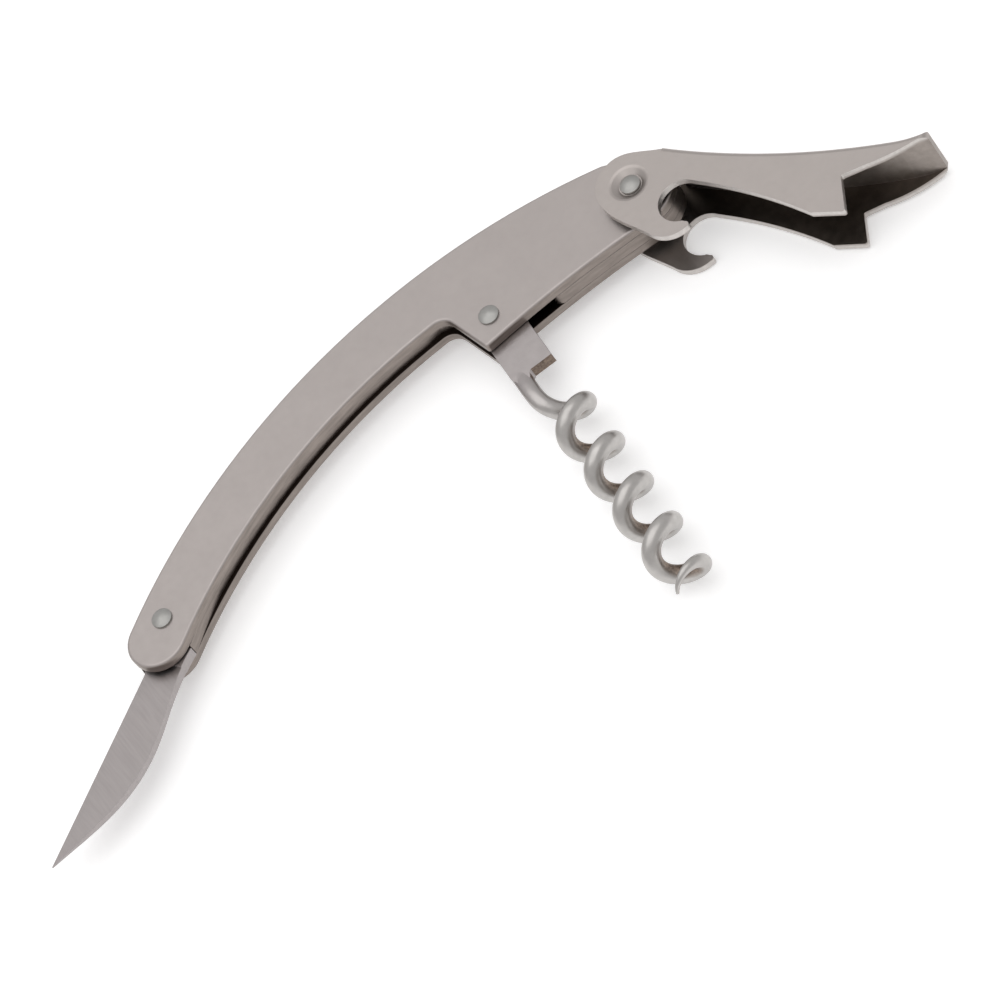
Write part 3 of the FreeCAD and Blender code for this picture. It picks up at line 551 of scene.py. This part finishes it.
def formed_rivet(name, colour):
    """Soft stainless rivet, cold formed in a polished die: the cleanest grey of the steels."""
    material, tree = new_material(name)
    where = add_node(tree, "ShaderNodeTexCoord").outputs["Object"]
    clean = mottled(tree, colour, where, size_mm=0.8, depth=0.06)
    steel(tree, clean, where, gloss=(0.40, 0.48), grit_mm=0.25, relief_mm=0.02, worn_mm=0.10)
    return material


def dress(name, material):
    """Gives a CAD node, or a piece made here, its material."""
    target = frame["nodes"].get(name) or bpy.data.objects[name]
    target.data.materials.clear()
    target.data.materials.append(material)


# ------------------------------------------------------------------- operators

class CORKSCREW_OT_plates(bpy.types.Operator):
    """Finish the two handle plates"""
    bl_idname = "corkscrew.plates"
    bl_label = "Handle plates"

    def execute(self, context):
        levels = node_z("back_plate")[0], node_z("front_plate")[1]
        material = tumbled_sheet(
            "stainless_tumbled_plate", context.scene.corkscrew_colours, levels)
        for name in ("front_plate", "back_plate"):
            dress(name, material)
        return {"FINISHED"}


class CORKSCREW_OT_spring(bpy.types.Operator):
    """Bring out the spring's leaf, and finish the spring and its dowel"""
    bl_idname = "corkscrew.spring"
    bl_label = "Spring and dowel"

    def execute(self, context):
        colours = context.scene.corkscrew_colours
        sizes = context.scene.corkscrew_leaf
        centre = Vector(sizes.arc_centre)

        def lowered(point):
            """Brings the leaf's free edge out to just inside the plates' concave edge."""
            out = Vector((point.x, point.y, 0)) - centre
            inset = out.length - sizes.belly
            reach = sizes.grip_reach if point.x > sizes.narrow_from else sizes.heel_reach
            if inset < sizes.depth or inset > reach:
                return point
            share = ramp(point.x, *sizes.worm_end) * ramp(point.x, *sizes.knife_end)
            return point - out.normalized() * (inset - sizes.depth) * share

        reworked("leaf_spring", "spring", "handle", lowered)
        dress("leaf_spring", tumbled_sheet("spring_steel_stamped", colours, node_z("spring")))
        dress("spring_dowel", formed_rivet("stainless_turned_dowel", colours.rivet))
        return {"FINISHED"}


class CORKSCREW_OT_rivets(bpy.types.Operator):
    """Finish the three hinge rivets"""
    bl_idname = "corkscrew.rivets"
    bl_label = "Rivets"

    def execute(self, context):
        colours = context.scene.corkscrew_colours
        material = formed_rivet("stainless_formed_rivet", colours.rivet)
        for name in ("knife_rivet", "worm_rivet", "lever_rivet"):
            dress(name, material)
        return {"FINISHED"}


class CORKSCREW_OT_worm(bpy.types.Operator):
    """Finish the worm"""
    bl_idname = "corkscrew.worm"
    bl_label = "Worm"

    def execute(self, context):
        colours = context.scene.corkscrew_colours
        sizes = context.scene.corkscrew_worm
        axis = Vector((math.sin(sizes.lean), -math.cos(sizes.lean), 0))
        across = Vector((math.cos(sizes.lean), math.sin(sizes.lean), 0))
        centre = hinge("worm_pivot") + across * sizes.beside
        dress("worm", drawn_wire("stainless_drawn_wire", colours, sizes, centre, axis))
        return {"FINISHED"}


class CORKSCREW_OT_lever(bpy.types.Operator):
    """Fill the step at the lever's tip, and finish the lever"""
    bl_idname = "corkscrew.lever"
    bl_label = "Lever"

    def execute(self, context):
        colours = context.scene.corkscrew_colours
        sizes = context.scene.corkscrew_lever
        start, cut = Vector(sizes.step_start), Vector(sizes.step_cut)
        curve = Vector(sizes.step_curve)

        # How far a point may lie off the cut, off the ledge's level and past the tip.
        on_cut, on_ledge, past_tip = 0.03 * MM, 0.05 * MM, 1.02

        def placed(point):
            """Share of the step's cut at which a point lies, and how far it lies beside the cut."""
            along = Vector((point.x, point.y, 0)) - start
            return along.dot(cut) / cut.length_squared, abs(along.cross(cut).z) / cut.length

        ledge = []
        for vertex in frame["nodes"]["lever"].data.vertices:
            share, aside = placed(vertex.co)
            if abs(vertex.co.z - sizes.step_level) < on_ledge and share > 0 and aside > on_cut:
                ledge.append(vertex.co)

        def filled(point):
            """Fills the low step on the web's inner face at the tip, out to the web's own curve."""
            share, aside = placed(point)
            above = point.z - sizes.step_level
            if above < -on_ledge or not 0 < share < past_tip or aside > on_cut:
                return point
            moved = point + (curve - cut) * share
            if above < on_ledge:
                moved = min(ledge, key=lambda other: (other - moved).length)
            return moved

        reworked("lever_channel", "lever", "lever", filled)
        dress("lever_channel", tumbled_fold(
            "stainless_tumbled_lever", colours, sizes, node_z("lever"),
            hinge("lever_pivot").x + sizes.hooks))
        return {"FINISHED"}


class CORKSCREW_OT_knife(bpy.types.Operator):
    """Finish the knife"""
    bl_idname = "corkscrew.knife"
    bl_label = "Knife"

    def execute(self, context):
        colours = context.scene.corkscrew_colours
        grind = context.scene.corkscrew_knife.grind
        dress("knife", ground_blade("blade_steel_ground", colours.blade, grind))
        return {"FINISHED"}


class CORKSCREW_OT_stage(bpy.types.Operator):
    """Make the floor, the lights and the camera"""
    bl_idname = "corkscrew.stage"
    bl_label = "Studio"

    def execute(self, context):
        scene = context.scene
        sizes = scene.corkscrew_studio
        colours = scene.corkscrew_colours
        self.floor(scene, sizes, colours)
        self.room(scene, sizes, colours)
        for name, direction, distance, power in (
                ("softbox_back", sizes.back_direction, sizes.back_distance, sizes.back_power),
                ("softbox_top", sizes.top_direction, sizes.top_distance, sizes.top_power)):
            self.softbox(scene, sizes, name, direction, distance, power)
        self.camera(scene, sizes)
        scene.view_settings.view_transform = "Standard"
        scene.view_settings.look = "None"
        return {"FINISHED"}

    def floor(self, scene, sizes, colours):
        """Opal acrylic, lit from below: matt and even, with a weak contact shadow."""
        half = sizes.floor_width / 2
        corners = [(-half, -half, 0), (half, -half, 0), (half, half, 0), (-half, half, 0)]
        mesh = bpy.data.meshes.new("studio_floor")
        mesh.from_pydata(corners, [], [(0, 1, 2, 3)])
        obj = bpy.data.objects.new("studio_floor", mesh)
        scene.collection.objects.link(obj)
        material, tree = new_material("acrylic_opal_floor")
        shader = add_node(tree, "ShaderNodeBsdfPrincipled", {
            "Base Color": rgba(colours.floor), "Roughness": 0.9,
            "Emission Color": rgba(colours.floor), "Emission Strength": sizes.floor_glow})
        add_node(tree, "ShaderNodeOutputMaterial", {"Surface": shader})
        mesh.materials.append(material)

    def room(self, scene, sizes, colours):
        """Even light from all round."""
        world = bpy.data.worlds.new("studio_room")
        world.use_nodes = True
        background = world.node_tree.nodes["Background"]
        background.inputs["Color"].default_value = rgba(colours.room)
        background.inputs["Strength"].default_value = sizes.fill
        scene.world = world

    def softbox(self, scene, sizes, name, direction, distance, power):
        """A square softbox that faces the aim and isn't seen itself."""
        data = bpy.data.lights.new(name, "AREA")
        data.shape = "SQUARE"
        data.size = sizes.box_width
        data.energy = power
        obj = bpy.data.objects.new(name, data)
        scene.collection.objects.link(obj)
        towards = Vector(direction).normalized()
        obj.location = Vector(sizes.aim) + towards * distance
        obj.rotation_euler = towards.to_track_quat("Z", "Y").to_euler()
        obj.visible_camera = False

    def camera(self, scene, sizes):
        """The camera goes round and above the aim, then rolls about its line of sight."""
        turn, rise, roll = sizes.azimuth, sizes.elevation, sizes.roll
        back = Vector((
            math.sin(turn) * math.cos(rise), -math.cos(turn) * math.cos(rise), math.sin(rise)))
        level = Vector((math.cos(turn), math.sin(turn), 0))
        right = level * math.cos(roll) + back.cross(level) * math.sin(roll)
        up = back.cross(right)
        data = bpy.data.cameras.new("studio_camera")
        data.lens = sizes.lens
        data.sensor_width = SENSOR_MM
        data.clip_start, data.clip_end = sizes.clip
        obj = bpy.data.objects.new("studio_camera", data)
        scene.collection.objects.link(obj)
        facing = Matrix((right, up, back)).transposed().to_4x4()
        place = Vector(sizes.aim) + back * sizes.distance
        obj.matrix_world = Matrix.Translation(place) @ facing
        scene.camera = obj


class CORKSCREW_PT_panel(bpy.types.Panel):
    """Lists the settings and the pieces"""
    bl_idname = "CORKSCREW_PT_panel"
    bl_label = "Lever corkscrew"
    bl_space_type = "VIEW_3D"
    bl_region_type = "UI"
    bl_category = "Corkscrew"

    def draw(self, context):
        column = self.layout.column(align=True)
        for group in GROUPS:
            settings = getattr(context.scene, group)
            for name in settings.bl_rna.properties.keys():
                if name not in ("rna_type", "name"):
                    column.prop(settings, name)
        for operator in PIECES:
            column.operator(operator.bl_idname)


GROUPS = {
    "corkscrew_colours": FinishColours,
    "corkscrew_leaf": LeafSizes,
    "corkscrew_worm": WormSizes,
    "corkscrew_lever": LeverSizes,
    "corkscrew_knife": KnifeSizes,
    "corkscrew_studio": StudioSizes,
}
PIECES = (
    CORKSCREW_OT_plates,
    CORKSCREW_OT_spring,
    CORKSCREW_OT_rivets,
    CORKSCREW_OT_worm,
    CORKSCREW_OT_lever,
    CORKSCREW_OT_knife,
    CORKSCREW_OT_stage,
)
CLASSES = tuple(GROUPS.values()) + PIECES + (CORKSCREW_PT_panel,)


def register():
    for cls in CLASSES:
        bpy.utils.register_class(cls)
    for name, group in GROUPS.items():
        setattr(bpy.types.Scene, name, bpy.props.PointerProperty(type=group))


def unregister():
    for name in GROUPS:
        delattr(bpy.types.Scene, name)
    for cls in reversed(CLASSES):
        bpy.utils.unregister_class(cls)


def main():
    register()
    for operator in PIECES:
        getattr(bpy.ops.corkscrew, operator.bl_idname.split(".")[1])()


if __name__ == "__main__":
    main()
